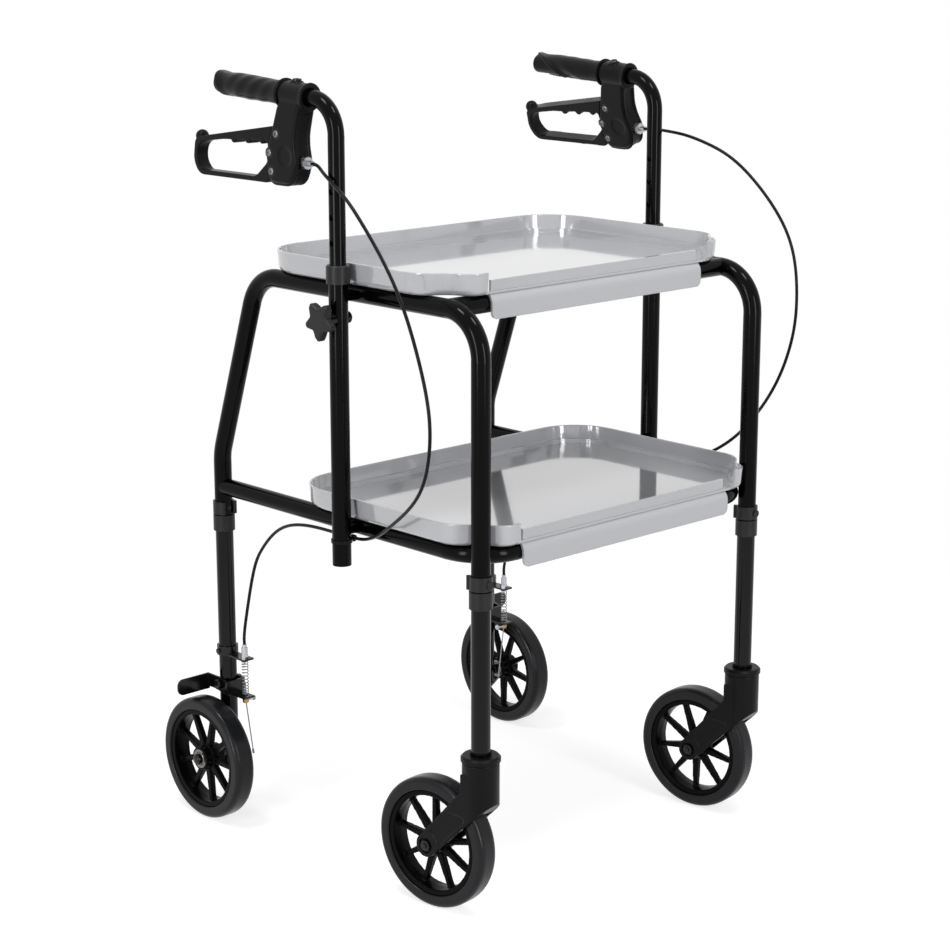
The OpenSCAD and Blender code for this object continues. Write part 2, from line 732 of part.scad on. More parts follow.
module lever_housing(side) color(plastic_black) lever_set(side) difference() {
    face = housing_w / 2;
    middle = [housing_y + housing_depth / 2, grip_z - housing_h / 2];
    union() {
        plate(0, housing_w - 2 * housing_edge) housing_outline();
        plate(0, housing_w) translate(middle) scale(1 - 2 * housing_edge / housing_depth) translate(-middle)
            housing_outline();
        on_grip(barrel_start) cylinder(d = barrel_d, h = barrel_len);
        on_grip(barrel_start) cylinder(d = barrel_d + 2 * barrel_rim_h, h = barrel_rim_t);
        on_grip(barrel_start + clamp_station)
            translate([-clamp_block.x / 2, -barrel_d / 2 - barrel_rim_h, -clamp_block.y / 2])
            cube([clamp_block.x, clamp_block.z + barrel_rim_h, clamp_block.y]);
    }
    plate(0, housing_w - 2 * groove_wall) difference() {
        translate([-over, 0]) housing_outline();
        translate([groove_depth, 0]) housing_outline();
        translate([housing_y - over, grip_z - barrel_d / 2 - barrel_rim_h]) square(housing_h);
    }
    on_grip(barrel_start - over) cylinder(d = handle_d + 2 * weld_gap, h = barrel_len + 2 * over);
    on_grip(barrel_start + barrel_len) cylinder(d = grip_flange_d + 2 * rest_gap, h = grip_len);
    adjuster_seat() translate([0, 0, -weld_gap])
        cylinder(d = adjuster_d + 2 * adjuster_ridge_d, h = housing_depth);
    plate(0, tongue_w + 2 * rest_gap) translate([housing_y, grip_z])
        polygon([for (s = slot_shares) [s[0] * housing_depth, s[1] * housing_h]]);
    translate([0, pivot_y, pivot_z]) x_rod(pivot_d + 2 * run_gap, -housing_w, housing_w);
    for (s = concat([pivot_share], screw_shares)) housing_at(s)
        x_rod(screw_recess_d, -housing_w, screw_recess_depth - face);
    for (s = screw_shares) housing_at(s) x_rod(screw_d / 2 + 2 * run_gap, -housing_w, -tongue_w / 2);
    housing_at(badge_share) x_rod(2 * badge_r, -housing_w, badge_depth - face);
}
module screw_head(d) {
    face = screw_recess_depth - housing_w / 2;
    x_knob(d + 2 * screw_recess_depth, face - screw_recess_depth * 3 / 2, face, screw_recess_depth / 2);
}
module housing_screws(side) color(plastic_grey) lever_set(side) {
    for (s = screw_shares) housing_at(s) {
        screw_head(screw_d);
        x_rod(screw_d / 2, -housing_w / 2, -tongue_w / 2 - 2 * screw_recess_depth);
    }
    translate([0, pivot_y, pivot_z]) {
        screw_head(screw_d);
        x_rod(pivot_d, -housing_w / 2, housing_w / 2);
    }
    on_grip(barrel_start + clamp_station) rotate([90, 0, 0]) translate([0, 0, barrel_d / 2 + barrel_rim_h])
        cylinder(d = screw_d, h = screw_d / 3);
}
module cable_adjuster(side) color(steel) lever_set(side) adjuster_seat() difference() {
    union() {
        cylinder(d = adjuster_d, h = adjuster_len);
        for (i = [0 : adjuster_ridges - 1]) rotate(360 * i / adjuster_ridges)
            translate([adjuster_d / 2, 0, 0]) cylinder(d = adjuster_ridge_d, h = adjuster_len);
        cylinder(d = adjuster_tip_d, h = adjuster_len + adjuster_tip_len);
    }
    translate([0, 0, -over])
        cylinder(d = wire_d + 2 * weld_gap, h = 2 * (adjuster_len + adjuster_tip_len));
}
module lever_outline() {
    polygon(rounded(spread(lever_outer_shares, lever_len, lever_h, lever_h)));
    circle(r = hub_r);
}
// Room for the fingers, with rounded teeth along its upper edge
module lever_loop() difference() {
    polygon(rounded(spread(lever_loop_shares, lever_len, lever_h, lever_h)));
    for (s = lever_tooth_shares) translate([s[0] * lever_len, s[1] * lever_h]) circle(r = lever_tooth_r);
}
module brake_lever(side) color(plastic_black) lever_set(side) difference() {
    union() {
        plate(0, tongue_w) translate([pivot_y, pivot_z]) lever_outline();
        plate(0, lever_w) difference() {
            translate([pivot_y, pivot_z]) lever_outline();
            for (d = [0, lever_clear]) translate([d, 0]) housing_outline();
        }
        translate([0, pivot_y + lever_nub_share[0] * lever_len, pivot_z + lever_nub_share[1] * lever_h])
            sphere(r = lever_nub_r);
    }
    plate(0, 2 * lever_w) translate([pivot_y, pivot_z]) lever_loop();
    translate([0, pivot_y, pivot_z]) x_rod(pivot_d + 2 * run_gap, -lever_w, lever_w);
}
module star_outline(inset) polygon(rounded([
    for (i = [0 : 2 * knob_lobes - 1])
    let (
        r = (i % 2 == 0 ? 1 : knob_valley_share) * knob_d / 2 - inset,
        a = 180 * i / knob_lobes
    )
    [r * cos(a), r * sin(a), knob_round_share * knob_d]
]));
module star_knob(side) color(plastic_grey) sided(side) translate([handle_x, handle_y, clamp_z]) {
    face = sleeve_d / 2 + nut_h + knob_gap;
    x_rod(knob_neck_d, face, face + knob_neck_h + knob_t / 2);
    translate([face + knob_neck_h, 0, 0]) rotate([0, 90, 0]) {
        linear_extrude(knob_t) star_outline(knob_edge);
        translate([0, 0, knob_edge]) linear_extrude(knob_t - 2 * knob_edge) star_outline(0);
    }
    x_rod(stud_d, handle_d / 2 + rest_gap, face + knob_neck_h);
}

// Wheels: axis along X, middle at the origin
module wheel_body(turn_share = 0) color(plastic_black) difference() {
    rotate([0, 90, 0]) rotate(360 * turn_share / spoke_count) union() {
        rotate_extrude() translate([0, -rim_w / 2]) polygon([
            [rim_r - rim_t, 0], [rim_r, 0], [rim_r, rim_w], [rim_r - rim_t, rim_w],
            [rim_r - rim_t - knob_edge, rim_w / 2]
        ]);
        cylinder(r = wheel_hub_r, h = wheel_hub_w, center = true);
        for (i = [0 : spoke_count - 1]) rotate(360 * i / spoke_count) linear_extrude(spoke_t, center = true)
            polygon([
                [wheel_hub_r - over, -spoke_w_hub / 2], [rim_r - rim_t + over, -spoke_w_rim / 2],
                [rim_r - rim_t + over, spoke_w_rim / 2], [wheel_hub_r - over, spoke_w_hub / 2]
            ]);
    }
    x_rod(bearing_d - 2 * bearing_ring, -wheel_hub_w, wheel_hub_w);
    for (s = [-1, 1]) scale([s, 1, 1])
        x_rod(bearing_d + 2 * weld_gap, wheel_hub_w / 2 - bearing_w, wheel_hub_w);
}
module tyre() color(rubber_grey) rotate([0, 90, 0]) rotate_extrude() polygon(rounded([
    [rim_r + weld_gap, -rim_w / 2, 0], [rim_r + weld_gap, -tyre_w / 2, tyre_round / 3],
    [wheel_r - tyre_crown, -tyre_w / 2, tyre_round], [wheel_r, -tyre_w / 4, tyre_w / 4],
    [wheel_r, tyre_w / 4, tyre_w / 4], [wheel_r - tyre_crown, tyre_w / 2, tyre_round],
    [rim_r + weld_gap, tyre_w / 2, tyre_round / 3], [rim_r + weld_gap, rim_w / 2, 0]
]));
module bearings() color(steel) for (s = [-1, 1]) translate([s * (wheel_hub_w - bearing_w) / 2, 0, 0])
    rotate([0, 90, 0]) rotate_extrude() translate([0, -bearing_w / 2]) polygon([
        [axle_d / 2 + run_gap, 0], [bearing_d / 4 + axle_d / 4 - bearing_groove, 0],
        [bearing_d / 4 + axle_d / 4, bearing_groove], [bearing_d / 4 + axle_d / 4 + bearing_groove, 0],
        [bearing_d / 2, 0], [bearing_d / 2, bearing_w],
        [bearing_d / 4 + axle_d / 4 + bearing_groove, bearing_w],
        [bearing_d / 4 + axle_d / 4, bearing_w - bearing_groove],
        [bearing_d / 4 + axle_d / 4 - bearing_groove, bearing_w], [axle_d / 2 + run_gap, bearing_w]
    ]);
module rear_wheel_at(side) sided(side) translate([frame_x + rear_wheel_out, rear_y, wheel_r]) children();
module rear_axles() color(frame_black) for (side = [right, left]) sided(side)
translate([frame_x, rear_y, wheel_r]) {
    hub_in = rear_wheel_out - wheel_hub_w / 2;
    hub_out = rear_wheel_out + wheel_hub_w / 2;
    x_rod(axle_d, -tube_r - axle_nut_h / 2, hub_out + axle_nut_h / 2);
    x_knob(axle_nut_d, -tube_r - axle_nut_h, -tube_r - weld_gap, over);
    x_rod(washer_d, tube_r + weld_gap, hub_in - rest_gap);
    x_knob(washer_d, hub_out + rest_gap, hub_out + axle_nut_h, over);
}

// Casters: swivel axis at the origin, trailing towards +Y
module caster_at(side) translate([side * frame_x, front_y, 0])
    rotate(caster_turn) children();
// Point beside the arm's middle line, which runs up from the boss to the front of the head
function on_arm(along, across) = let (axis = unit(fork_slope))
    boss_at + along * axis + across * [axis.y, -axis.x];
module arm_outline() {
    flank = fork_flank_share * boss_r;
    translate(boss_at) circle(r = boss_r);
    polygon([
        on_arm(0, flank), on_arm(0, -flank), [-fork_head_r, head_front_z], [-fork_head_r, shoulder_z],
        [fork_head_r * fork_back_share, shoulder_z], [fork_head_r * fork_back_share, head_front_z + boss_r]
    ]);
}
module fork_panel() {
    start = boss_r + fork_border;
    half = boss_r - fork_border;
    reach = norm(fork_slope);
    polygon(rounded([for (p = [
        on_arm(start, half), on_arm(start, -half),
        on_arm(reach * fork_panel_low_share, -half), on_arm(reach * fork_panel_high_share, half)
    ]) [p.x, p.y, fork_border]]));
}
module caster_fork(side) color(plastic_black) caster_at(side) difference() {
    union() {
        intersection() {
            plate(0, 2 * fork_head_r) arm_outline();
            linear_extrude(head_top_z) union() {
                circle(r = fork_head_r);
                translate([-fork_head_r, 0]) square([2 * fork_head_r, caster_trail + 2 * boss_r]);
            }
        }
        translate([0, 0, shoulder_z - boss_r])
            cylinder(r = fork_head_r, h = head_top_z - shoulder_z + boss_r);
    }
    translate([0, caster_trail, wheel_r]) x_rod(2 * (wheel_r + wheel_clear), -arm_gap, arm_gap);
    for (s = [-1, 1]) plate(s * fork_head_r, 2 * fork_panel_depth) fork_panel();
    translate([0, 0, stem_bottom_z - rest_gap]) cylinder(d = stem_d + 2 * run_gap, h = head_top_z);
    translate([0, caster_trail, wheel_r]) {
        x_rod(axle_d + 2 * weld_gap, -2 * arm_gap, 2 * arm_gap);
        for (s = [-1, 1]) scale([s, 1, 1])
            x_rod(fork_recess_d, fork_head_r - fork_recess_depth, 2 * arm_gap);
    }
}
module caster_cap(side) color(plastic_black) caster_at(side) translate([0, 0, head_top_z]) rotate_extrude()
    polygon([
        [stem_d / 2 + run_gap, 0], [cap_r - cap_edge / 2, 0], [cap_r, cap_edge / 2],
        [cap_r, cap_h - cap_edge], [cap_r - cap_edge, cap_h], [stem_d / 2 + run_gap, cap_h]
    ]);
module caster_axle(side) color(frame_black) caster_at(side) translate([0, caster_trail, wheel_r]) {
    seat = fork_head_r - fork_recess_depth;
    x_rod(axle_d, -seat - caster_nut_h, seat + caster_nut_h);
    for (s = [-1, 1]) scale([s, 1, 1]) {
        x_knob(caster_nut_d, seat, seat + caster_nut_h, over);
        x_rod(washer_d, wheel_hub_w / 2 + rest_gap, arm_gap - weld_gap);
    }
}
module front_wheel_at(side) caster_at(side) translate([0, caster_trail, wheel_r]) children();

// Rear brakes: leg axis at x = 0, y = 0, outwards is +X
module brake_at(side) sided(side) translate([frame_x, rear_y, 0]) children();
module cable_stops() color(frame_black) for (side = [right, left]) brake_at(side) difference() {
    union() {
        translate([-tab_w / 2, -cable_ahead - tab_past, stop_z])
            cube([tab_w, cable_ahead + tab_past, stop_t]);
        translate([0, 0, stop_z]) cylinder(r = tube_r + stop_t, h = stop_strap_h);
        translate([0, 0, stop_z + stop_strap_h / 2]) x_rod(bolt_head_d / 2, 0, tube_r + stop_t + stop_t);
    }
    translate([0, 0, stop_z - over]) cylinder(r = tube_r + weld_gap, h = stop_strap_h + 2 * over);
    translate([-tube_d, 0, stop_z - over]) cube([tube_d, tube_d, stop_strap_h + 2 * over]);
    translate([0, -cable_ahead, stop_z - over]) cylinder(d = wire_hole_d, h = stop_t + 2 * over);
}
module cable_ferrules() color(steel) for (side = [right, left]) brake_at(side)
    translate([0, -cable_ahead, stop_z + stop_t]) {
        cylinder(d = ferrule_foot_d, h = ferrule_foot_h, $fn = 6);
        cylinder(d = ferrule_d, h = ferrule_len - ferrule_foot_h);
        cylinder(d = cable_d + tube_wall, h = ferrule_len);
        translate([0, 0, -stop_t - wire_gap]) cylinder(d = wire_d, h = stop_t + wire_gap + ferrule_foot_h);
    }
module brake_pivot_bolts() color(frame_black) for (side = [right, left]) brake_at(side)
translate([0, 0, brake_pivot_z]) {
    cheek = tube_r + arm_leg_gap + arm_t + rest_gap;
    x_rod(pivot_bolt_d, -cheek, cheek);
    x_knob(bolt_head_d, cheek, cheek + bolt_head_h, over);
    x_knob(bolt_head_d, -cheek - bolt_head_h, -cheek, over);
}
// Folded strip: two cheeks beside the leg, a web ahead of it, a cable tab, and the shoe over the tyre
module brake_arm(side) color(frame_black) brake_at(side) translate([0, 0, brake_pivot_z]) difference() {
    cheek = tube_r + arm_leg_gap;
    web = tube_r + arm_web_gap;
    union() {
        for (x = [-cheek - arm_t / 2, cheek + arm_t / 2]) plate(x, arm_t) polygon(rounded([
            [-web - arm_t, -arm_bottom, 0], [-web - arm_t, arm_top, 0],
            [shoe_bottom, shoe_top, shoe_bottom / 2], [shoe_bottom, -shoe_bottom, shoe_bottom / 2]
        ]));
        translate([-cheek, -web - arm_t, -arm_bottom]) cube([2 * cheek, arm_t, arm_bottom + arm_top]);
        translate([-tab_w / 2, -cable_ahead - tab_past, -arm_bottom])
            cube([tab_w, cable_ahead + tab_past - web - arm_t / 2, arm_t]);
        translate([cheek, -arm_t, -shoe_bottom]) cube([arm_t, shoe_back + 2 * arm_t, shoe_top + shoe_bottom]);
        translate([0, shoe_back + arm_t, 0]) rotate([90, 0, 0]) linear_extrude(arm_t) polygon(rounded([
            [cheek, -shoe_low, 0], [shoe_reach, -shoe_low, shoe_bottom],
            [shoe_reach, shoe_top, shoe_bottom], [cheek, shoe_top, 0]
        ]));
    }
    x_rod(pivot_bolt_d + 2 * run_gap, -2 * cheek, 2 * cheek);
    translate([0, -cable_ahead, -arm_bottom - over]) cylinder(d = wire_hole_d, h = arm_t + 2 * over);
}
module cable_anchor(side) color(brass) brake_at(side)
translate([0, -cable_ahead, brake_pivot_z - arm_bottom - anchor_h]) {
    cylinder(d = anchor_d, h = anchor_h);
    translate([0, 0, anchor_h / 2]) {
        x_rod(anchor_screw_d, -anchor_screw_len, 0);
        x_knob(anchor_screw_head_d, -anchor_screw_len, -anchor_screw_len + anchor_screw_d / 2, over / 2);
    }
    cylinder(d = wire_d, h = wire_stub);
    translate([0, 0, anchor_h / 2]) rotate([0, 180 + tail_lean, 0]) cylinder(d = wire_d, h = tail_drop);
}
function coil_point(i, height) = let (a = 360 * i / spring_rings, r = (spring_d - spring_wire) / 2)
    [r * cos(a), r * sin(a), height * i / (spring_coils * spring_rings)];
module return_spring(side) color(steel) brake_at(side) {
    low = brake_pivot_z - arm_bottom + arm_t + spring_seat + spring_wire / 2;
    height = stop_z - spring_seat - spring_wire / 2 - low;
    pts = [for (i = [0 : spring_coils * spring_rings]) coil_point(i, height)];
    gap = min([
        for (i = [0 : len(pts) - 1], j = [i + spring_rings / 2 : len(pts) - 1])
        if (j > i) norm(pts[i] - pts[j])
    ]);
    echo(spring_least_gap = gap - spring_wire);
    translate([0, -cable_ahead, low]) tube_along(pts, spring_wire / 2, spring_sides, [0, 0, 1]);
}
module brake_cable(route) color(plastic_black)
    tube_along(
        [for (i = [0 : cable_rings - 1]) curve_at(route, i / (cable_rings - 1))],
        cable_d / 2, cable_sides, [1, 0, 0]
    );
// Tie: a band round the sleeve with a loop for the cable, which passes on the sleeve's inner side
module cable_ties() color(plastic_black) for (side = [right, left]) sided(side)
translate([handle_x, handle_y, tie_z]) {
    loop_r = cable_d / 2 + tie_slack;
    linear_extrude(tie_w, center = true) ring(sleeve_d + 2 * weld_gap + 2 * tie_t, tie_t);
    translate([-tie_reach, 0, 0]) rotate([90, 0, 0]) linear_extrude(tie_w, center = true)
        ring(2 * (loop_r + tie_t), tie_t);
    translate([-tie_reach + loop_r + tie_t / 2, -tie_w / 2, -tie_w / 2])
        cube([tie_reach - loop_r - tie_t - sleeve_d / 2, tie_w, tie_w]);
}

// Trays
module tray_wall_profile() polygon(rounded([
    [ledge_in - $thin, $thin, 0], [tray_draft + $thin, $thin, tray_foot_r],
    [$thin, tray_h - $thin, tray_t / 3], [tray_t - $thin, tray_h - $thin, tray_t / 3],
    [tray_t + tray_draft - $thin, tray_t + ledge_h - $thin, 0],
    [ledge_in - $thin, tray_t + ledge_h - $thin, 0]
]));
module tray(tube_y, tube_z, r) color(tray_grey) translate([0, tube_y, tube_z]) {
    seat = r + rest_gap;
    start = [tray_w / 2 - corner_size.x, -rim_ahead];
    translate([0, 0, seat]) {
        translate([start.x, start.y, 0]) run(tray_steps) tray_wall_profile();
        linear_extrude(tray_t) translate(start) polygon(trace(tray_steps, ledge_in - tray_t));
        translate([-lip_len / 2 + ridge_in, -ridge_back, 0])
            cube([lip_len - 2 * ridge_in, tray_t, tray_t + ridge_h]);
    }
    difference() {
        rotate([90, 0, 90]) linear_extrude(lip_len, center = true) union() {
            intersection() {
                ring(2 * (seat + tray_t), tray_t);
                translate([-2 * seat, 0]) square([2 * seat, 2 * seat]);
            }
            translate([-seat - tray_t, -lip_drop]) square([tray_t, lip_drop]);
        }
        for (s = [-1, 1]) scale([s, 1, 1]) translate([lip_len / 2, 0, -lip_drop]) rotate([90, 0, 0])
            linear_extrude(2 * seat + 2 * tray_t) difference() {
                translate([-lip_corner_r, -over]) square([lip_corner_r + over, lip_corner_r + over]);
                translate([-lip_corner_r, lip_corner_r]) circle(r = lip_corner_r);
            }
    }
}
module tray_upper() tray(bar_y, rail_z, tube_r);
module tray_lower() tray(front_y, lower_rail_z, rail_r);

side_frame(right);  // side_frame_right
side_frame(left);  // side_frame_left
top_crossbar();
lower_rail();
handle_sleeve(right);  // handle_sleeve_right
handle_sleeve(left);  // handle_sleeve_left
sleeve_collars();
clamp_bolts();
leg_collars();
leg_clips();
front_legs();
rear_legs();
caster_stems();
cable_stops();
cable_ferrules();
brake_pivot_bolts();
brake_cable(right_route);  // brake_cable_right
brake_cable(left_route);  // brake_cable_left
cable_ties();
rear_axles();
handle_tube(right);  // handle_tube_right
handle_tube(left);  // handle_tube_left
grip(right);  // grip_right
grip(left);  // grip_left
lever_housing(right);  // lever_housing_right
lever_housing(left);  // lever_housing_left
housing_screws(right);  // housing_screws_right
housing_screws(left);  // housing_screws_left
cable_adjuster(right);  // cable_adjuster_right
cable_adjuster(left);  // cable_adjuster_left
brake_lever(right);  // brake_lever_right
brake_lever(left);  // brake_lever_left
star_knob(right);  // star_knob_right
star_knob(left);  // star_knob_left
brake_arm(right);  // brake_arm_right
brake_arm(left);  // brake_arm_left
cable_anchor(right);  // cable_anchor_right
cable_anchor(left);  // cable_anchor_left
return_spring(right);  // return_spring_right
return_spring(left);  // return_spring_left
caster_fork(right);  // caster_fork_right
caster_fork(left);  // caster_fork_left
caster_cap(right);  // caster_cap_right
caster_cap(left);  // caster_cap_left
caster_axle(right);  // caster_axle_right
caster_axle(left);  // caster_axle_left
front_wheel_at(right) wheel_body(front_right_turn_share);  // wheel_front_right
front_wheel_at(left) wheel_body();  // wheel_front_left
rear_wheel_at(right) wheel_body(rear_right_turn_share);  // wheel_rear_right
rear_wheel_at(left) wheel_body();  // wheel_rear_left
front_wheel_at(right) tyre();  // tyre_front_right
front_wheel_at(left) tyre();  // tyre_front_left
rear_wheel_at(right) tyre();  // tyre_rear_right
rear_wheel_at(left) tyre();  // tyre_rear_left
front_wheel_at(right) bearings();  // bearings_front_right
front_wheel_at(left) bearings();  // bearings_front_left
rear_wheel_at(right) bearings();  // bearings_rear_right
rear_wheel_at(left) bearings();  // bearings_rear_left
tray_upper();
tray_lower();
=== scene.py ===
import bpy
from math import acos, cos, pi, radians, sin, tanh
from mathutils import Matrix, Vector


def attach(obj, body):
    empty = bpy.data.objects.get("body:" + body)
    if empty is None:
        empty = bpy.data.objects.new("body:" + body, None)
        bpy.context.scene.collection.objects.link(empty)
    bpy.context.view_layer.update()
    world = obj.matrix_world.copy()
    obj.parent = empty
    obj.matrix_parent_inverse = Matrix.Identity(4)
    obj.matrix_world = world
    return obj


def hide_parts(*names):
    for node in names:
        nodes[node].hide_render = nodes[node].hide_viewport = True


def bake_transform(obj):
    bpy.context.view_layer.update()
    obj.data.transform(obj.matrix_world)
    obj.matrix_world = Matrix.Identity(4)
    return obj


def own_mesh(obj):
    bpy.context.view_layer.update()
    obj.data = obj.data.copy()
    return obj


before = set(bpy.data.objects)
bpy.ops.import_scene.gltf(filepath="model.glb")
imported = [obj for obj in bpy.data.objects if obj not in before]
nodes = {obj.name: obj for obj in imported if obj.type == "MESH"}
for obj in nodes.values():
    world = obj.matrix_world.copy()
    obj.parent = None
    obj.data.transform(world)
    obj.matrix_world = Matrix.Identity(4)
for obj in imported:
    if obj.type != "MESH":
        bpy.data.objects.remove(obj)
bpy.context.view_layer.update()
scene = bpy.context.scene
mm = 0.001  # sizes of the pieces below are in mm, those of the stage in metres
sides = ("right", "left")
signs = dict(zip(sides, (-1, 1)))  # the right side lies at minus X
softCrease, turnedCrease = radians(50), radians(35)  # edges sharper than this stay crisp
print("frame loaded")


# camera, matched to the photo's viewpoint
shot = {"at": (-1.9004, -2.0180, 1.1137), "tilt": 76.32, "turn": -43.44, "lens": 86.55, "sensor": 36}
bpy.ops.object.camera_add(
    location=shot["at"], rotation=(radians(shot["tilt"]), 0, radians(shot["turn"])))
camera = bpy.context.object
camera.data.lens = shot["lens"]
camera.data.sensor_width = shot["sensor"]
scene.camera = camera
scene.view_settings.view_transform = "Standard"


def linear(hexText):
    parts = [int(hexText[i:i + 2], 16) / 255 for i in (1, 3, 5)]
    return [v / 12.92 if v <= 0.04045 else ((v + 0.055) / 1.055) ** 2.4 for v in parts] + [1]


def addNode(tree, kind, inputs=None, **settings):
    made = tree.nodes.new(kind)
    for key, value in settings.items():
        setattr(made, key, value)
    for key, value in (inputs or {}).items():
        if isinstance(value, bpy.types.NodeSocket):
            tree.links.new(value, made.inputs[key])
        else:
            made.inputs[key].default_value = value
    return made


handling = {"scale": 22, "low": 0.3, "high": 0.7}  # marks about 45 mm across, and the span of their noise


def finish(name, colour, roughness, grainSize, grainHeight, tint, gloss=0.5, edge=0, **shader):
    material = bpy.data.materials.new(name)
    material.use_nodes = True
    tree = material.node_tree
    tree.nodes.clear()
    coords = addNode(tree, "ShaderNodeTexCoord").outputs["Object"]
    fine = 1 / (grainSize * mm)
    grain = addNode(tree, "ShaderNodeTexNoise", {"Vector": coords, "Scale": fine, "Detail": 3})
    cloud = addNode(tree, "ShaderNodeTexNoise", {"Vector": coords, "Scale": handling["scale"], "Detail": 4})
    rough = addNode(tree, "ShaderNodeMapRange", {
        "Value": cloud.outputs["Fac"], "From Min": handling["low"], "From Max": handling["high"],
        "To Min": roughness[0], "To Max": roughness[1]})
    base = linear(colour)
    paler = [c + (1 - c) * tint for c in base[:3]] + [1]
    shade = addNode(tree, "ShaderNodeMix", {
        "Factor": cloud.outputs["Fac"], "A": base, "B": paler}, data_type="RGBA")
    bump = addNode(tree, "ShaderNodeBump", {
        "Height": grain.outputs["Fac"], "Strength": 1.0, "Distance": grainHeight * mm})
    if edge:  # rounded edges that catch the light
        rounded = addNode(tree, "ShaderNodeBevel", {"Radius": edge * mm}, samples=4)
        tree.links.new(rounded.outputs["Normal"], bump.inputs["Normal"])
    body = addNode(tree, "ShaderNodeBsdfPrincipled", {
        "Base Color": shade.outputs["Result"], "Roughness": rough.outputs["Result"],
        "Normal": bump.outputs["Normal"], "Specular IOR Level": gloss, **shader})
    addNode(tree, "ShaderNodeOutputMaterial", {"Surface": body.outputs["BSDF"]})
    return material


# each finish: sRGB colour, roughness range, grain and its height in mm, paler share, specular level,
# radius in mm of the edges that catch the light
coat = finish(  # powder coat baked on tube: deep black with long clean streaks
    "gloss_black_powder_coat", "#020203", (0.1, 0.15), 5, 0.003, 0.001, 0.09)
legCoat = finish(  # lower legs: black that mirrors more of the white around it
    "gloss_black_enamel", "#030304", (0.08, 0.14), 6, 0.003, 0.001, 0.2)
blackSteel = finish(  # black zinc on pressed steel: small hard glints
    "black_zinc_steel", "#040405", (0.14, 0.24), 0.8, 0.006, 0.004, 0.3, 0.5)
nylon = finish(  # moulded nylon: satin black with a fine spark grain
    "moulded_black_nylon", "#060607", (0.3, 0.4), 0.6, 0.02, 0.003, 0.11)
wheelNylon = finish(  # wheel moulding: deeper black with a tighter sheen
    "glossy_black_nylon", "#040404", (0.24, 0.34), 0.8, 0.015, 0.002, 0.05)
greyNylon = finish(  # collars and knobs: matt, a shade lighter than the tube
    "moulded_grey_nylon", "#19191b", (0.34, 0.44), 0.7, 0.03, 0.008, 0.22, 0.6)
rubber = finish(  # hand grips: soft sheen over a leathery skin
    "soft_grip_rubber", "#09090a", (0.24, 0.34), 0.5, 0.02, 0.004, 0.12)
tyreRubber = finish(  # tyres: bluish dark grey, light along the crown
    "grey_tyre_rubber", "#0e0f13", (0.24, 0.32), 0.9, 0.02, 0.005, 0.2)
polymer = finish(  # moulded tray: pale grey under a mirror-like skin
    "glossy_grey_polymer", "#b4b5b9", (0.08, 0.14), 3.5, 0.003, 0.02, 0.5, 1.6,
    **{"Coat Weight": 1.0, "Coat Roughness": 0.05, "Coat IOR": 1.75})
zinc = finish(  # bright zinc plate: adjusters, ferrules, pinch screws
    "bright_zinc_plate", "#b4b6b9", (0.2, 0.34), 0.5, 0.01, 0.05, Metallic=1.0)
dullZinc = finish(  # passivated screws: greyer, softer shine
    "dull_zinc_screw", "#6f7276", (0.26, 0.4), 0.4, 0.01, 0.04, Metallic=1.0)
shield = finish(  # pressed bearing shield: warm dark ring
    "bearing_shield_steel", "#75706a", (0.22, 0.34), 0.6, 0.006, 0.03, Metallic=1.0)
springWire = finish(  # drawn wire: even silver lustre
    "drawn_spring_wire", "#85878b", (0.24, 0.36), 0.4, 0.006, 0.04, Metallic=1.0)
brassPlate = finish(  # turned brass: dull gold
    "turned_brass", "#a8894e", (0.3, 0.42), 0.5, 0.008, 0.03, Metallic=1.0)
sheath = finish(  # extruded cable casing: smooth black
    "black_cable_sheath", "#060607", (0.26, 0.34), 1.2, 0.006, 0.003, 0.14)

coats = {  # the nodes that each finish goes on, by the start of their names
    coat: ["side_frame", "top_crossbar", "lower_rail", "handle_sleeve", "handle_tube", "caster_stems"],
    legCoat: ["front_legs", "rear_legs"],
    blackSteel: ["clamp_bolts", "cable_stops", "brake_pivot_bolts", "rear_axles", "brake_arm",
                 "caster_axle"],
    greyNylon: ["sleeve_collars", "leg_collars", "leg_clips", "star_knob"],
    nylon: ["lever_housing", "brake_lever", "caster_fork", "caster_cap", "cable_ties"],
    wheelNylon: ["wheel_"],
    rubber: ["grip_"],
    tyreRubber: ["tyre_"],
    polymer: ["tray_"],
    zinc: ["cable_adjuster", "cable_ferrules"],
    dullZinc: ["housing_screws"],
    shield: ["bearings"],
    brassPlate: ["cable_anchor"],
    springWire: ["return_spring"],
    sheath: ["brake_cable"],
}
for material, starts in coats.items():
    for name, node in nodes.items():
        if any(name.startswith(start) for start in starts):
            for place in node.material_slots:
                place.material = material
print("materials set")


def onlySelect(piece):
    bpy.ops.object.select_all(action="DESELECT")
    piece.select_set(True)
    bpy.context.view_layer.objects.active = piece


def applyModifier(piece, kind, **settings):
    onlySelect(piece)
    modifier = piece.modifiers.new(kind.lower(), kind)
    for key, value in settings.items():
        setattr(modifier, key, value)
    bpy.ops.object.modifier_apply(modifier=modifier.name)


def dress(piece, name, material):
    piece.name = name
    piece.data.name = name
    piece.data.materials.clear()
    piece.data.materials.append(material)


weld = 0.01  # joins double points of the CAD mesh


# node copy with moulded edges: the CAD form, its corners rounded off
def softened(node, voxel, passes, keep):
    piece = bpy.data.objects.new(node, nodes[node].data.copy())
    scene.collection.objects.link(piece)
    onlySelect(piece)
    bpy.ops.object.mode_set(mode="EDIT")
    bpy.ops.mesh.select_all(action="SELECT")
    bpy.ops.mesh.remove_doubles(threshold=weld * mm)
    bpy.ops.object.mode_set(mode="OBJECT")
    applyModifier(piece, "REMESH", mode="VOXEL", voxel_size=voxel * mm)
    applyModifier(piece, "SMOOTH", factor=0.5, iterations=passes)
    applyModifier(piece, "DECIMATE", ratio=keep)
    bpy.ops.object.shade_smooth()
    return piece


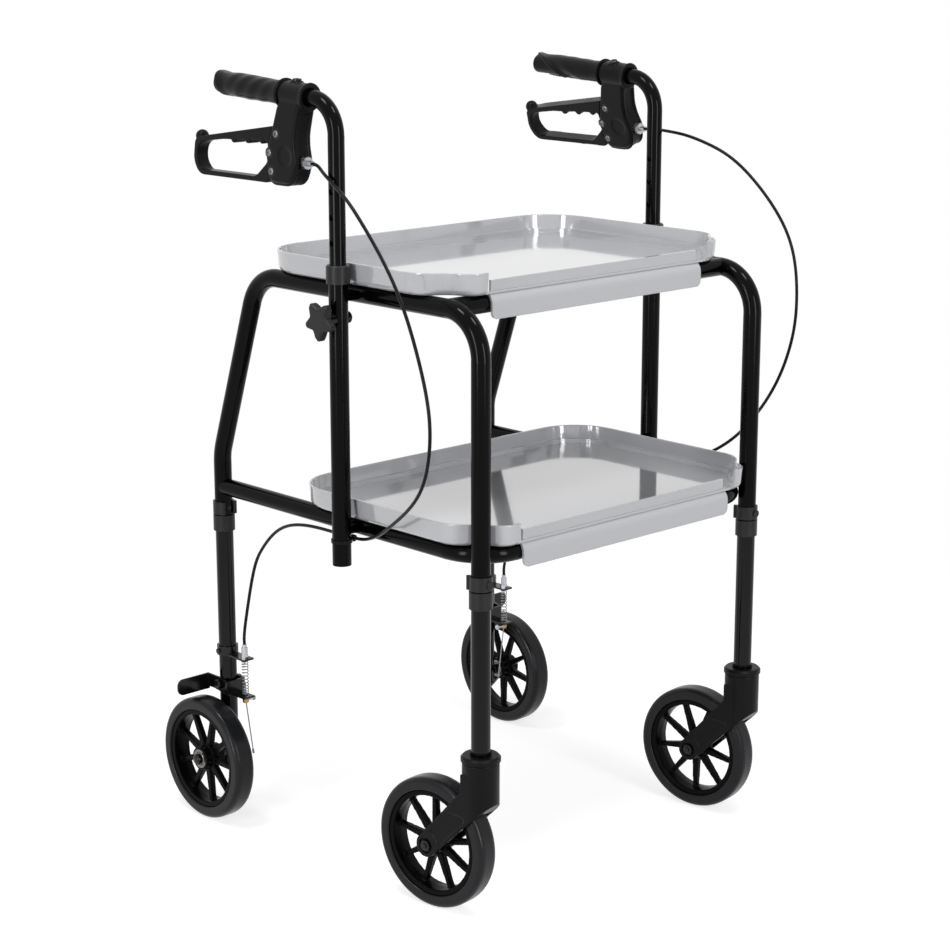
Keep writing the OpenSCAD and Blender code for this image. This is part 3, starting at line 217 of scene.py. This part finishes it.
mouldings = {  # voxel in mm, rounding passes, share of faces kept, body it rides on, material, slot
    "lever_housing": (0.7, 36, 0.4, "handle", nylon, "black_plastic"),
    "brake_lever": (0.7, 10, 0.4, "lever", nylon, "black_plastic"),
    "star_knob": (0.6, 8, 0.5, "knob", greyNylon, "grey_plastic"),
    "caster_fork": (0.7, 4, 0.4, "caster", nylon, "black_plastic"),
    "wheel_front": (0.9, 4, 0.35, "front_wheel", wheelNylon, "black_plastic"),
    "wheel_rear": (0.9, 4, 0.35, "rear_wheel", wheelNylon, "black_plastic"),
}
for start, (voxel, passes, keep, body, material, slotName) in mouldings.items():
    for side in sides:
        piece = softened(f"{start}_{side}", voxel, passes, keep)
        dress(piece, f"{start}_{side}_moulding", material)
        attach(piece, f"{body}_{side}")
        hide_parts(f"{start}_{side}")
print("mouldings softened")


# smooth tube through points: a curve with a round bevel, turned into a mesh
def tubeThrough(name, points, radius, resolution):
    data = bpy.data.curves.new(name, "CURVE")
    data.dimensions = "3D"
    data.bevel_depth = radius
    data.bevel_resolution = resolution
    data.use_fill_caps = True
    spline = data.splines.new("POLY")
    spline.points.add(len(points) - 1)
    for place, point in zip(spline.points, points):
        place.co = (*point, 1)
    piece = bpy.data.objects.new(name, data)
    scene.collection.objects.link(piece)
    onlySelect(piece)
    bpy.ops.object.convert(target="MESH")
    bpy.ops.object.shade_smooth_by_angle(angle=softCrease)
    return bpy.context.object


# point on the smooth curve through the route, t from 0 to 1
def alongCurve(route, t):
    last = len(route) - 1
    i = min(int(t * last), last - 1)
    f = t * last - i
    b, c = Vector(route[i]), Vector(route[i + 1])
    a = Vector(route[i - 1]) if i > 0 else 2 * b - c
    d = Vector(route[i + 2]) if i + 2 <= last else 2 * c - b
    return b + 0.5 * f * (c - a + f * (2 * a - 5 * b + 4 * c - d + f * (3 * (b - c) + d - a)))


cables = {
    "radius": 2.0, "rings": 260, "eased": 12, "roundness": 3,
    "right": [
        (-262, -23.4, 846.5), (-263.4, -32, 845.6), (-268, -42.5, 843.6), (-274.6, -58, 838.4),
        (-279.4, -84, 826), (-284, -122, 802), (-289, -193, 729), (-298, -244, 642), (-301, -260, 576),
        (-292, -233, 506), (-271, -153, 448), (-252, -102, 424), (-244.5, -64, 416), (-241, 22, 414),
        (-236, 82, 398), (-230, 128, 360), (-228, 148, 326), (-228, 164, 266), (-227.3, 170.2, 240),
        (-227.3, 170.3, 228.3)],
    "left": [
        (289.6, -24, 852), (289.5, -34, 852.4), (288, -60, 852), (285, -114, 846), (288, -186, 818),
        (297, -256, 741), (301, -270, 656), (298, -260, 586), (288, -234, 524), (267, -194, 470),
        (252, -126, 434), (244.5, -64, 416), (241, 22, 414), (236, 82, 398), (230, 128, 360),
        (228, 148, 326), (228, 164, 266), (227.3, 170.2, 240), (227.3, 170.3, 228.3)],
}
for side in sides:
    path = [alongCurve(cables[side], i / (cables["rings"] - 1)) * mm for i in range(cables["rings"])]
    for turn in range(cables["eased"]):  # even out the bends, ends held
        path = path[:2] + [(path[i - 1] + path[i + 1]) / 2 for i in range(2, len(path) - 2)] + path[-2:]
    cable = tubeThrough(f"cable_{side}", path, cables["radius"] * mm, cables["roundness"])
    dress(cable, f"cable_casing_{side}", sheath)
    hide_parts(f"brake_cable_{side}")
    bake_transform(cable)
print("cables run")


springs = {
    "x": 227.3, "y": 170.3, "low": 161.7, "high": 206.8,
    "radius": 4.0, "wire": 0.55, "coils": 12, "steps": 24, "closing": 0.028, "roundness": 2,
}
for side, sign in signs.items():
    total = springs["coils"] * springs["steps"]
    coil = []
    for i in range(total + 1):
        turn = 2 * pi * i / springs["steps"]
        rise = i / total
        rise = rise - springs["closing"] * sin(2 * pi * rise)  # closed end coils
        coil.append(Vector((
            sign * springs["x"] + springs["radius"] * cos(turn),
            springs["y"] + springs["radius"] * sin(turn),
            springs["low"] + (springs["high"] - springs["low"]) * rise)) * mm)
    spring = tubeThrough(f"spring_{side}", coil, springs["wire"] * mm, springs["roundness"])
    dress(spring, f"spring_coil_{side}", springWire)
    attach(spring, "frame")
    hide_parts(f"return_spring_{side}")
    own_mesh(spring)
print("springs wound")


# turned piece: rings drawn out along Z, each given by its height and radius
def drawnOut(rings, segments):
    bpy.ops.object.select_all(action="DESELECT")
    bpy.ops.mesh.primitive_circle_add(
        vertices=segments, radius=rings[0][1] * mm, fill_type="NGON", location=(0, 0, rings[0][0] * mm))
    bpy.ops.object.mode_set(mode="EDIT")
    bpy.ops.mesh.select_all(action="SELECT")
    for before, after in zip(rings, rings[1:]):
        grow = after[1] / before[1]
        step = (0, 0, (after[0] - before[0]) * mm)
        bpy.ops.mesh.extrude_region_move(TRANSFORM_OT_translate={"value": step})
        bpy.ops.transform.resize(value=(grow, grow, 1))
    bpy.ops.mesh.select_all(action="SELECT")
    bpy.ops.mesh.normals_make_consistent(inside=False)
    bpy.ops.object.mode_set(mode="OBJECT")
    piece = bpy.context.object
    onlySelect(piece)
    bpy.ops.object.transform_apply(location=True, rotation=True, scale=True)
    bpy.ops.object.shade_smooth_by_angle(angle=turnedCrease)
    return piece


def setPiece(piece, place, name, material, body):
    piece.matrix_world = place
    onlySelect(piece)
    bpy.ops.object.transform_apply(location=True, rotation=True, scale=True)
    dress(piece, name, material)
    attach(piece, body)


def at(x, y, z):
    return Matrix.Translation(Vector((x, y, z)) * mm)


def turned(degrees, axis):
    return Matrix.Rotation(radians(degrees), 4, axis)


# lever sets: the left one is rolled round the grip
grip = {"x": 262.0, "y": -64.1, "z": 917.8, "rise": 3.2, "roll": {"right": 0, "left": -22}}
gripLean = turned(grip["rise"] - 90, "X")


def leverSet(side, sign):
    roll = turned(grip["roll"][side], "Z")
    axis = at(0, grip["y"], grip["z"])
    return at(sign * grip["x"], 0, 0) @ axis @ gripLean @ roll @ gripLean.inverted() @ axis.inverted()


# grips: a sleeve cut aslant over a plug, longest at the top, scooped behind its edge;
# the cut runs farther back on the inner half, and parting is how sharply the halves change
skins = {
    "start": 85.55, "flange": 4, "flangeRadius": 17.6, "radius": 14.25, "length": 119,
    "step": 1.0, "around": 96,
    "profile": [(0, 1.0), (6, 0.96), (14, 0.94), (36, 0.97), (60, 1.0), (81, 1.0), (98, 0.99), (119, 1.01)],
    "tip": 1.5, "outerCut": 17, "innerCut": 64, "plug": -2.4, "edge": 0.6,
    "scoop": -2.4, "scoopAt": 13, "scoopEnd": 38, "leaf": 0.3, "leafPitch": 23, "endRound": 3,
    "parting": 4, "outerEase": 0.7, "leafTwist": 2.5, "leafStart": 20,
    "flangeRound": 1.2, "flangeEdge": 1.0, "gap": 0.05, "smoothing": 3,
}


def gripRadius(s, angle, outSign):
    below = acos(max(-1, min(1, -sin(angle)))) / pi  # 0 on top, 1 underneath
    outer = 0.5 + 0.5 * tanh(skins["parting"] * cos(angle) * outSign)
    inside = skins["length"] + skins["tip"] - s
    inside -= below * (skins["outerCut"] * outer + skins["innerCut"] * (1 - outer))
    pairs = list(zip(skins["profile"], skins["profile"][1:]))
    (s0, r0), (s1, r1) = next((pair for pair in pairs if s <= pair[1][0]), pairs[-1])
    radius = skins["radius"] * (r0 + (r1 - r0) * (s - s0) / (s1 - s0))
    leaves = skins["leaf"] * sin(2 * pi * s / skins["leafPitch"] + skins["leafTwist"] * angle)
    scoop = skins["scoop"] * (1 - skins["outerEase"] * outer)
    if inside < 0:
        return radius + skins["plug"]
    if inside < skins["scoopAt"]:
        share = inside / skins["scoopAt"]
        return radius + skins["edge"] + (scoop - skins["edge"]) * share
    fade = min(1, (inside - skins["scoopAt"]) / (skins["scoopEnd"] - skins["scoopAt"]))
    ends = min(1, s / skins["leafStart"]) * outer
    hollow = scoop * (1 - fade * fade * (3 - 2 * fade))
    return radius + hollow + leaves * ends * fade


for side, sign in signs.items():
    turns = [2 * pi * j / skins["around"] for j in range(skins["around"])]
    full, thick = skins["flangeRadius"], skins["flange"]
    eased, rim = full - skins["flangeRound"], skins["flangeEdge"]
    rings = [(height, [radius] * len(turns)) for height, radius in (
        (0, eased), (rim, full), (thick - rim, full), (thick, eased))]
    count = int(skins["length"] / skins["step"])
    for i in range(count + 1):
        s = skins["length"] * i / count
        close = max(0, s - skins["length"] + skins["endRound"]) ** 2 / skins["endRound"]
        rings.append((thick + s + skins["gap"], [gripRadius(s, turn, sign) - close for turn in turns]))
    points = [(0, 0, 0)]
    for height, radii in rings:
        points += [(r * cos(turn) * mm, r * sin(turn) * mm, height * mm) for r, turn in zip(radii, turns)]
    points.append((0, 0, rings[-1][0] * mm))
    n = len(turns)
    faces = [(0, 1 + (j + 1) % n, 1 + j) for j in range(n)]
    for i in range(len(rings) - 1):
        low, high = 1 + i * n, 1 + (i + 1) * n
        faces += [(low + j, low + (j + 1) % n, high + (j + 1) % n, high + j) for j in range(n)]
    faces += [(high + j, high + (j + 1) % n, len(points) - 1) for j in range(n)]
    mesh = bpy.data.meshes.new("grip")
    mesh.from_pydata(points, [], faces)
    piece = bpy.data.objects.new("grip", mesh)
    scene.collection.objects.link(piece)
    applyModifier(piece, "SMOOTH", factor=0.5, iterations=skins["smoothing"])
    bpy.ops.object.shade_smooth_by_angle(angle=softCrease)
    place = at(sign * grip["x"], grip["y"], grip["z"]) @ gripLean @ at(0, 0, skins["start"])
    setPiece(piece, place, f"grip_skin_{side}", rubber, f"handle_{side}")
    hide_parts(f"grip_{side}")
print("grips shaped")


screws = {
    "face": -11.8, "at": [(27.59, 877.21), (40.58, 855.23), (37.06, 834.34)],
    "rings": [(0, 4.2), (0.7, 4.2), (1.2, 3.9), (1.6, 3.2), (1.8, 2.3), (1.8, 1.6), (1.0, 1.5), (0.9, 0.2)],
    "boss": [(-0.4, 6.2), (0.5, 6.2), (0.9, 5.7), (0.9, 4.9), (0.4, 4.6), (0.4, 0.3)],
    "clamp": (2.36, 938.14), "segments": 32, "clampSegments": 24,
    "clampRings": [(-1, 5.2), (1.4, 5.2), (2.0, 4.6), (2.0, 3.0), (1.3, 2.8), (1.3, 0.2)],
}
for side, sign in signs.items():
    for number, (y, z) in enumerate(screws["at"], 1):
        outward = at(screws["face"], y, z) @ turned(-90, "Y")
        head = drawnOut(screws["rings"], screws["segments"])
        setPiece(head, leverSet(side, sign) @ outward, f"housing_screw_{side}_{number}", dullZinc,
                 f"handle_{side}")
        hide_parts(f"housing_screws_{side}")
        setPiece(drawnOut(screws["boss"], screws["segments"]), leverSet(side, sign) @ outward,
                 f"housing_boss_{side}_{number}", blackSteel, f"handle_{side}")
    upward = at(0, *screws["clamp"]) @ turned(grip["rise"], "X")
    head = drawnOut(screws["clampRings"], screws["clampSegments"])
    setPiece(head, leverSet(side, sign) @ upward, f"clamp_screw_{side}", blackSteel,
             f"handle_{side}")
    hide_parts(f"housing_screws_{side}")
print("screws set")


# axle ends: hexagon nuts with the bolt's end on the casters, domed caps on the rear wheels
axles = {
    "x": 227.3, "frontY": -260.7, "rearY": 205.3, "z": 78.4,
    "trail": 65, "turn": 7, "seat": 19, "capAt": 49.1,
    "segments": {"nut": 6, "end": 24, "cap": 32},
    "nut": [(0, 7.0), (3.6, 7.0), (4.4, 6.0)], "end": [(4.0, 3.4), (5.6, 3.4), (6.3, 2.6), (6.4, 0.3)],
    "cap": [(0, 6.6), (4.6, 6.6), (5.8, 5.8), (6.6, 4.2), (6.9, 2.0), (7.0, 0.3)],
}
for side, sign in signs.items():
    caster = at(sign * axles["x"], axles["frontY"], 0) @ turned(axles["turn"], "Z")
    for face, turn in (("outer", 90 * sign), ("inner", -90 * sign)):
        place = caster @ at(0, axles["trail"], axles["z"]) @ turned(turn, "Y") @ at(0, 0, axles["seat"])
        for part in ("nut", "end"):
            setPiece(drawnOut(axles[part], axles["segments"][part]), place,
                     f"caster_{part}_{face}_{side}", blackSteel, f"caster_{side}")
    place = at(sign * (axles["x"] + axles["capAt"]), axles["rearY"], axles["z"])
    setPiece(drawnOut(axles["cap"], axles["segments"]["cap"]), place @ turned(90 * sign, "Y"),
             f"axle_cap_{side}", blackSteel, "frame")
print("axle ends set")


# cable anchors: brass block, pinch screw and the wire through it, with a crimp on its tail
anchors = {
    "x": 227.3, "y": 170.3, "low": 151, "wire": 0.8, "stub": 26, "tail": 75, "lean": 8, "middle": 3.5,
    "steps": 8, "roundness": 2, "segments": {"block": 32, "screw": 24, "crimp": 16},
    "block": [(0, 3.4), (0.6, 4.0), (6.4, 4.0), (7, 3.4)],
    "screw": [(3, 2.2), (11.6, 2.2), (11.8, 3.5), (13.5, 3.5), (14, 3.0), (14, 0.3)],
    "crimp": [(69, 1.2), (69.4, 1.4), (74.4, 1.4), (75, 1.0)],
}


def straightWire(length):
    points = [Vector((0, 0, length * i / anchors["steps"])) * mm for i in range(anchors["steps"] + 1)]
    return tubeThrough("wire", points, anchors["wire"] * mm, anchors["roundness"])


for side, sign in signs.items():
    foot = at(sign * anchors["x"], anchors["y"], anchors["low"])
    middle = foot @ at(0, 0, anchors["middle"])
    down = middle @ turned(180 + sign * anchors["lean"], "Y")
    block, screw, crimp = [drawnOut(anchors[part], count) for part, count in anchors["segments"].items()]
    pieces = {
        "anchor_block": (block, foot, brassPlate, "brass"),
        "pinch_screw": (screw, middle @ turned(-90 * sign, "Y"), zinc, "bright_steel"),
        "tail_crimp": (crimp, down, dullZinc, "bright_steel"),
        "wire_tail": (straightWire(anchors["tail"]), down, springWire, "spring_steel"),
        "wire_stub": (straightWire(anchors["stub"]), foot, springWire, "spring_steel"),
    }
    for name, (piece, place, material, slotName) in pieces.items():
        setPiece(piece, place, f"{name}_{side}", material, f"arm_{side}")
        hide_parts(f"cable_anchor_{side}")
print("anchors set")


# floor, white surroundings and plain soft light
stage = {"size": 80, "colour": "#cacaca", "glow": 0.72, "fadeFrom": 0.7, "fadeTo": 1.6, "ambient": 0.27}


def seenRays(tree):  # 1 for what the eye, a mirror or a clear part sees, 0 for plain lighting
    light = addNode(tree, "ShaderNodeLightPath")
    first = addNode(tree, "ShaderNodeMath", {
        0: light.outputs["Is Camera Ray"], 1: light.outputs["Is Glossy Ray"]}, operation="MAXIMUM")
    return addNode(tree, "ShaderNodeMath", {
        0: first.outputs[0], 1: light.outputs["Is Transmission Ray"]}, operation="MAXIMUM").outputs[0]


bpy.ops.object.select_all(action="DESELECT")
bpy.ops.mesh.primitive_plane_add(size=stage["size"], location=(0, 0, 0))
floor = bpy.context.object
floor.name = "floor"
paper = bpy.data.materials.new("white_studio_floor")
paper.use_nodes = True
tree = paper.node_tree
tree.nodes.clear()
matt = addNode(tree, "ShaderNodeBsdfDiffuse", {"Color": linear(stage["colour"])})
glow = addNode(tree, "ShaderNodeEmission", {"Color": (1, 1, 1, 1), "Strength": stage["glow"]})
near = addNode(tree, "ShaderNodeAddShader", {0: matt.outputs[0], 1: glow.outputs[0]})
white = addNode(tree, "ShaderNodeEmission", {"Color": (1, 1, 1, 1), "Strength": 1.0})
coords = addNode(tree, "ShaderNodeTexCoord").outputs["Object"]
away = addNode(tree, "ShaderNodeVectorMath", {0: coords}, operation="LENGTH")
fade = addNode(tree, "ShaderNodeMapRange", {
    "Value": away.outputs["Value"], "From Min": stage["fadeFrom"], "From Max": stage["fadeTo"]})
sweep = addNode(tree, "ShaderNodeMixShader", {
    0: fade.outputs["Result"], 1: near.outputs[0], 2: white.outputs[0]})  # shadow near, white farther off
pick = addNode(tree, "ShaderNodeMixShader", {0: seenRays(tree), 1: matt.outputs[0], 2: sweep.outputs[0]})
addNode(tree, "ShaderNodeOutputMaterial", {"Surface": pick.outputs[0]})
floor.data.materials.append(paper)

world = bpy.data.worlds.new("white_studio")
scene.world = world
world.use_nodes = True
tree = world.node_tree
tree.nodes.clear()
level = addNode(tree, "ShaderNodeMapRange", {
    "Value": seenRays(tree), "To Min": stage["ambient"], "To Max": 1.0})
sky = addNode(tree, "ShaderNodeBackground", {"Color": (1, 1, 1, 1), "Strength": level.outputs["Result"]})
addNode(tree, "ShaderNodeOutputWorld", {"Surface": sky.outputs[0]})

lamps = {
    "left": {"at": (-2.96, -0.46, 1.0), "size": (0.6, 1.8), "power": 36},
    "right": {"at": (-0.17, -2.99, 1.0), "size": (0.6, 1.8), "power": 33},
    "overLeft": {"at": (-1.0, 0.1, 2.6), "size": (0.5, 0.5), "power": 15},
    "overRight": {"at": (0.1, -1.0, 2.6), "size": (0.5, 0.5), "power": 15},
}
aimAt = Vector((0, 0, 0.6))
for name, lamp in lamps.items():
    aim = aimAt - Vector(lamp["at"])
    turn = aim.to_track_quat("-Z", "Y").to_euler()
    bpy.ops.object.light_add(type="AREA", location=lamp["at"], rotation=turn)
    lampObject = bpy.context.object
    lampObject.name = f"lamp_{name}"
    lampObject.data.shape = "RECTANGLE"
    lampObject.data.size, lampObject.data.size_y = lamp["size"]
    lampObject.data.energy = lamp["power"]
print("stage lit")
